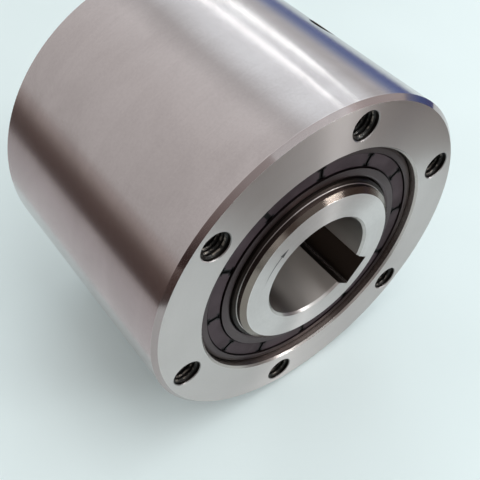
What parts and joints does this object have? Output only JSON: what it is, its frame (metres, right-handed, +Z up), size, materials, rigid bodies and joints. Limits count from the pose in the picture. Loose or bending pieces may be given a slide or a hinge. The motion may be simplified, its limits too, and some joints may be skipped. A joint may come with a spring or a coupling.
{
  "type": "one-way clutch bearing",
  "caption": "Sprag one-way clutch in a bolted steel ring on sealed ball bearings; its keyed inner ring turns freely one way and locks the other way.",
  "frame": {"origin": "on the bore axis, halfway along the clutch", "axes": "+Y along the bore, away from the end seen in the picture, which faces -Y; +Z up as it lies on its side; +X to the right seen from that end"},
  "size_m": [0.125, 0.0984, 0.125],
  "materials": {
    "ground_steel": "ground round the outside, turned on the end faces",
    "hub_steel": "fine ground, light grey",
    "bearing_steel": "ground bearing steel",
    "ball_steel": "polished",
    "seal_rubber": "matt moulded rubber",
    "ball_cage_plastic": "moulded nylon",
    "cage_steel": "machined",
    "sprag_steel": "drawn and polished",
    "spring_steel": "drawn spring wire",
    "black_steel": "black oxide"
  },
  "bodies": {
    "outer_body": {"outer_ring": "ground_steel", "port_plug": "black_steel", "sprag_cage": "cage_steel", "front_garter_spring": "spring_steel", "rear_garter_spring": "spring_steel", "front_bearing_outer_ring": "bearing_steel", "front_outside_seal": "seal_rubber", "front_inside_seal": "seal_rubber", "rear_bearing_outer_ring": "bearing_steel", "rear_outside_seal": "seal_rubber", "rear_inside_seal": "seal_rubber"},
    "inner_body": {"inner_ring": "hub_steel", "front_bearing_inner_ring": "bearing_steel", "rear_bearing_inner_ring": "bearing_steel"},
    "front_ball_set": {"front_bearing_balls": "ball_steel", "front_ball_cage": "ball_cage_plastic"},
    "rear_ball_set": {"rear_bearing_balls": "ball_steel", "rear_ball_cage": "ball_cage_plastic"},
    "sprag_01_body": {"sprag_01": "sprag_steel"},
    "sprag_02_body": {"sprag_02": "sprag_steel"},
    "sprag_03_body": {"sprag_03": "sprag_steel"},
    "sprag_04_body": {"sprag_04": "sprag_steel"},
    "sprag_05_body": {"sprag_05": "sprag_steel"},
    "sprag_06_body": {"sprag_06": "sprag_steel"},
    "sprag_07_body": {"sprag_07": "sprag_steel"},
    "sprag_08_body": {"sprag_08": "sprag_steel"},
    "sprag_09_body": {"sprag_09": "sprag_steel"},
    "sprag_10_body": {"sprag_10": "sprag_steel"},
    "sprag_11_body": {"sprag_11": "sprag_steel"},
    "sprag_12_body": {"sprag_12": "sprag_steel"},
    "sprag_13_body": {"sprag_13": "sprag_steel"},
    "sprag_14_body": {"sprag_14": "sprag_steel"},
    "sprag_15_body": {"sprag_15": "sprag_steel"},
    "sprag_16_body": {"sprag_16": "sprag_steel"},
    "sprag_17_body": {"sprag_17": "sprag_steel"},
    "sprag_18_body": {"sprag_18": "sprag_steel"},
    "sprag_19_body": {"sprag_19": "sprag_steel"},
    "sprag_20_body": {"sprag_20": "sprag_steel"},
    "sprag_21_body": {"sprag_21": "sprag_steel"},
    "sprag_22_body": {"sprag_22": "sprag_steel"},
    "sprag_23_body": {"sprag_23": "sprag_steel"},
    "sprag_24_body": {"sprag_24": "sprag_steel"}
  },
  "joints": [
    {"name": "inner_ring_spin", "type": "hinge", "parent": "outer_body", "child": "inner_body", "pos_m": [0, 0, 0], "axis": [0, 1, 0], "continuous": true},
    {"name": "front_balls_orbit", "type": "hinge", "parent": "outer_body", "child": "front_ball_set", "pos_m": [0, 0, 0], "axis": [0, 1, 0], "continuous": true},
    {"name": "rear_balls_orbit", "type": "hinge", "parent": "outer_body", "child": "rear_ball_set", "pos_m": [0, 0, 0], "axis": [0, 1, 0], "continuous": true},
    {"name": "sprag_01_tilt", "type": "hinge", "parent": "outer_body", "child": "sprag_01_body", "pos_m": [0.03883, 0, 0.00511], "axis": [0, -1, 0], "range_deg": [0, 8], "stiffness_Nm_per_rad": 0.004, "springref_deg": -11.46},
    {"name": "sprag_02_tilt", "type": "hinge", "parent": "outer_body", "child": "sprag_02_body", "pos_m": [0.03618, 0, 0.01499], "axis": [0, -1, 0], "range_deg": [0, 8], "stiffness_Nm_per_rad": 0.004, "springref_deg": -11.46},
    {"name": "sprag_03_tilt", "type": "hinge", "parent": "outer_body", "child": "sprag_03_body", "pos_m": [0.03107, 0, 0.02384], "axis": [0, -1, 0], "range_deg": [0, 8], "stiffness_Nm_per_rad": 0.004, "springref_deg": -11.46},
    {"name": "sprag_04_tilt", "type": "hinge", "parent": "outer_body", "child": "sprag_04_body", "pos_m": [0.02384, 0, 0.03107], "axis": [0, -1, 0], "range_deg": [0, 8], "stiffness_Nm_per_rad": 0.004, "springref_deg": -11.46},
    {"name": "sprag_05_tilt", "type": "hinge", "parent": "outer_body", "child": "sprag_05_body", "pos_m": [0.01499, 0, 0.03618], "axis": [0, -1, 0], "range_deg": [0, 8], "stiffness_Nm_per_rad": 0.004, "springref_deg": -11.46},
    {"name": "sprag_06_tilt", "type": "hinge", "parent": "outer_body", "child": "sprag_06_body", "pos_m": [0.00511, 0, 0.03883], "axis": [0, -1, 0], "range_deg": [0, 8], "stiffness_Nm_per_rad": 0.004, "springref_deg": -11.46},
    {"name": "sprag_07_tilt", "type": "hinge", "parent": "outer_body", "child": "sprag_07_body", "pos_m": [-0.00511, 0, 0.03883], "axis": [0, -1, 0], "range_deg": [0, 8], "stiffness_Nm_per_rad": 0.004, "springref_deg": -11.46},
    {"name": "sprag_08_tilt", "type": "hinge", "parent": "outer_body", "child": "sprag_08_body", "pos_m": [-0.01499, 0, 0.03618], "axis": [0, -1, 0], "range_deg": [0, 8], "stiffness_Nm_per_rad": 0.004, "springref_deg": -11.46},
    {"name": "sprag_09_tilt", "type": "hinge", "parent": "outer_body", "child": "sprag_09_body", "pos_m": [-0.02384, 0, 0.03107], "axis": [0, -1, 0], "range_deg": [0, 8], "stiffness_Nm_per_rad": 0.004, "springref_deg": -11.46},
    {"name": "sprag_10_tilt", "type": "hinge", "parent": "outer_body", "child": "sprag_10_body", "pos_m": [-0.03107, 0, 0.02384], "axis": [0, -1, 0], "range_deg": [0, 8], "stiffness_Nm_per_rad": 0.004, "springref_deg": -11.46},
    {"name": "sprag_11_tilt", "type": "hinge", "parent": "outer_body", "child": "sprag_11_body", "pos_m": [-0.03618, 0, 0.01499], "axis": [0, -1, 0], "range_deg": [0, 8], "stiffness_Nm_per_rad": 0.004, "springref_deg": -11.46},
    {"name": "sprag_12_tilt", "type": "hinge", "parent": "outer_body", "child": "sprag_12_body", "pos_m": [-0.03883, 0, 0.00511], "axis": [0, -1, 0], "range_deg": [0, 8], "stiffness_Nm_per_rad": 0.004, "springref_deg": -11.46},
    {"name": "sprag_13_tilt", "type": "hinge", "parent": "outer_body", "child": "sprag_13_body", "pos_m": [-0.03883, 0, -0.00511], "axis": [0, -1, 0], "range_deg": [0, 8], "stiffness_Nm_per_rad": 0.004, "springref_deg": -11.46},
    {"name": "sprag_14_tilt", "type": "hinge", "parent": "outer_body", "child": "sprag_14_body", "pos_m": [-0.03618, 0, -0.01499], "axis": [0, -1, 0], "range_deg": [0, 8], "stiffness_Nm_per_rad": 0.004, "springref_deg": -11.46},
    {"name": "sprag_15_tilt", "type": "hinge", "parent": "outer_body", "child": "sprag_15_body", "pos_m": [-0.03107, 0, -0.02384], "axis": [0, -1, 0], "range_deg": [0, 8], "stiffness_Nm_per_rad": 0.004, "springref_deg": -11.46},
    {"name": "sprag_16_tilt", "type": "hinge", "parent": "outer_body", "child": "sprag_16_body", "pos_m": [-0.02384, 0, -0.03107], "axis": [0, -1, 0], "range_deg": [0, 8], "stiffness_Nm_per_rad": 0.004, "springref_deg": -11.46},
    {"name": "sprag_17_tilt", "type": "hinge", "parent": "outer_body", "child": "sprag_17_body", "pos_m": [-0.01499, 0, -0.03618], "axis": [0, -1, 0], "range_deg": [0, 8], "stiffness_Nm_per_rad": 0.004, "springref_deg": -11.46},
    {"name": "sprag_18_tilt", "type": "hinge", "parent": "outer_body", "child": "sprag_18_body", "pos_m": [-0.00511, 0, -0.03883], "axis": [0, -1, 0], "range_deg": [0, 8], "stiffness_Nm_per_rad": 0.004, "springref_deg": -11.46},
    {"name": "sprag_19_tilt", "type": "hinge", "parent": "outer_body", "child": "sprag_19_body", "pos_m": [0.00511, 0, -0.03883], "axis": [0, -1, 0], "range_deg": [0, 8], "stiffness_Nm_per_rad": 0.004, "springref_deg": -11.46},
    {"name": "sprag_20_tilt", "type": "hinge", "parent": "outer_body", "child": "sprag_20_body", "pos_m": [0.01499, 0, -0.03618], "axis": [0, -1, 0], "range_deg": [0, 8], "stiffness_Nm_per_rad": 0.004, "springref_deg": -11.46},
    {"name": "sprag_21_tilt", "type": "hinge", "parent": "outer_body", "child": "sprag_21_body", "pos_m": [0.02384, 0, -0.03107], "axis": [0, -1, 0], "range_deg": [0, 8], "stiffness_Nm_per_rad": 0.004, "springref_deg": -11.46},
    {"name": "sprag_22_tilt", "type": "hinge", "parent": "outer_body", "child": "sprag_22_body", "pos_m": [0.03107, 0, -0.02384], "axis": [0, -1, 0], "range_deg": [0, 8], "stiffness_Nm_per_rad": 0.004, "springref_deg": -11.46},
    {"name": "sprag_23_tilt", "type": "hinge", "parent": "outer_body", "child": "sprag_23_body", "pos_m": [0.03618, 0, -0.01499], "axis": [0, -1, 0], "range_deg": [0, 8], "stiffness_Nm_per_rad": 0.004, "springref_deg": -11.46},
    {"name": "sprag_24_tilt", "type": "hinge", "parent": "outer_body", "child": "sprag_24_body", "pos_m": [0.03883, 0, -0.00511], "axis": [0, -1, 0], "range_deg": [0, 8], "stiffness_Nm_per_rad": 0.004, "springref_deg": -11.46}
  ],
  "couplings": [
    {"joint": "front_balls_orbit", "follows": "inner_ring_spin", "ratio": 0.45394},
    {"joint": "rear_balls_orbit", "follows": "inner_ring_spin", "ratio": 0.45394},
    {"joint": "sprag_02_tilt", "follows": "sprag_01_tilt", "ratio": 1},
    {"joint": "sprag_03_tilt", "follows": "sprag_01_tilt", "ratio": 1},
    {"joint": "sprag_04_tilt", "follows": "sprag_01_tilt", "ratio": 1},
    {"joint": "sprag_05_tilt", "follows": "sprag_01_tilt", "ratio": 1},
    {"joint": "sprag_06_tilt", "follows": "sprag_01_tilt", "ratio": 1},
    {"joint": "sprag_07_tilt", "follows": "sprag_01_tilt", "ratio": 1},
    {"joint": "sprag_08_tilt", "follows": "sprag_01_tilt", "ratio": 1},
    {"joint": "sprag_09_tilt", "follows": "sprag_01_tilt", "ratio": 1},
    {"joint": "sprag_10_tilt", "follows": "sprag_01_tilt", "ratio": 1},
    {"joint": "sprag_11_tilt", "follows": "sprag_01_tilt", "ratio": 1},
    {"joint": "sprag_12_tilt", "follows": "sprag_01_tilt", "ratio": 1},
    {"joint": "sprag_13_tilt", "follows": "sprag_01_tilt", "ratio": 1},
    {"joint": "sprag_14_tilt", "follows": "sprag_01_tilt", "ratio": 1},
    {"joint": "sprag_15_tilt", "follows": "sprag_01_tilt", "ratio": 1},
    {"joint": "sprag_16_tilt", "follows": "sprag_01_tilt", "ratio": 1},
    {"joint": "sprag_17_tilt", "follows": "sprag_01_tilt", "ratio": 1},
    {"joint": "sprag_18_tilt", "follows": "sprag_01_tilt", "ratio": 1},
    {"joint": "sprag_19_tilt", "follows": "sprag_01_tilt", "ratio": 1},
    {"joint": "sprag_20_tilt", "follows": "sprag_01_tilt", "ratio": 1},
    {"joint": "sprag_21_tilt", "follows": "sprag_01_tilt", "ratio": 1},
    {"joint": "sprag_22_tilt", "follows": "sprag_01_tilt", "ratio": 1},
    {"joint": "sprag_23_tilt", "follows": "sprag_01_tilt", "ratio": 1},
    {"joint": "sprag_24_tilt", "follows": "sprag_01_tilt", "ratio": 1}
  ]
}
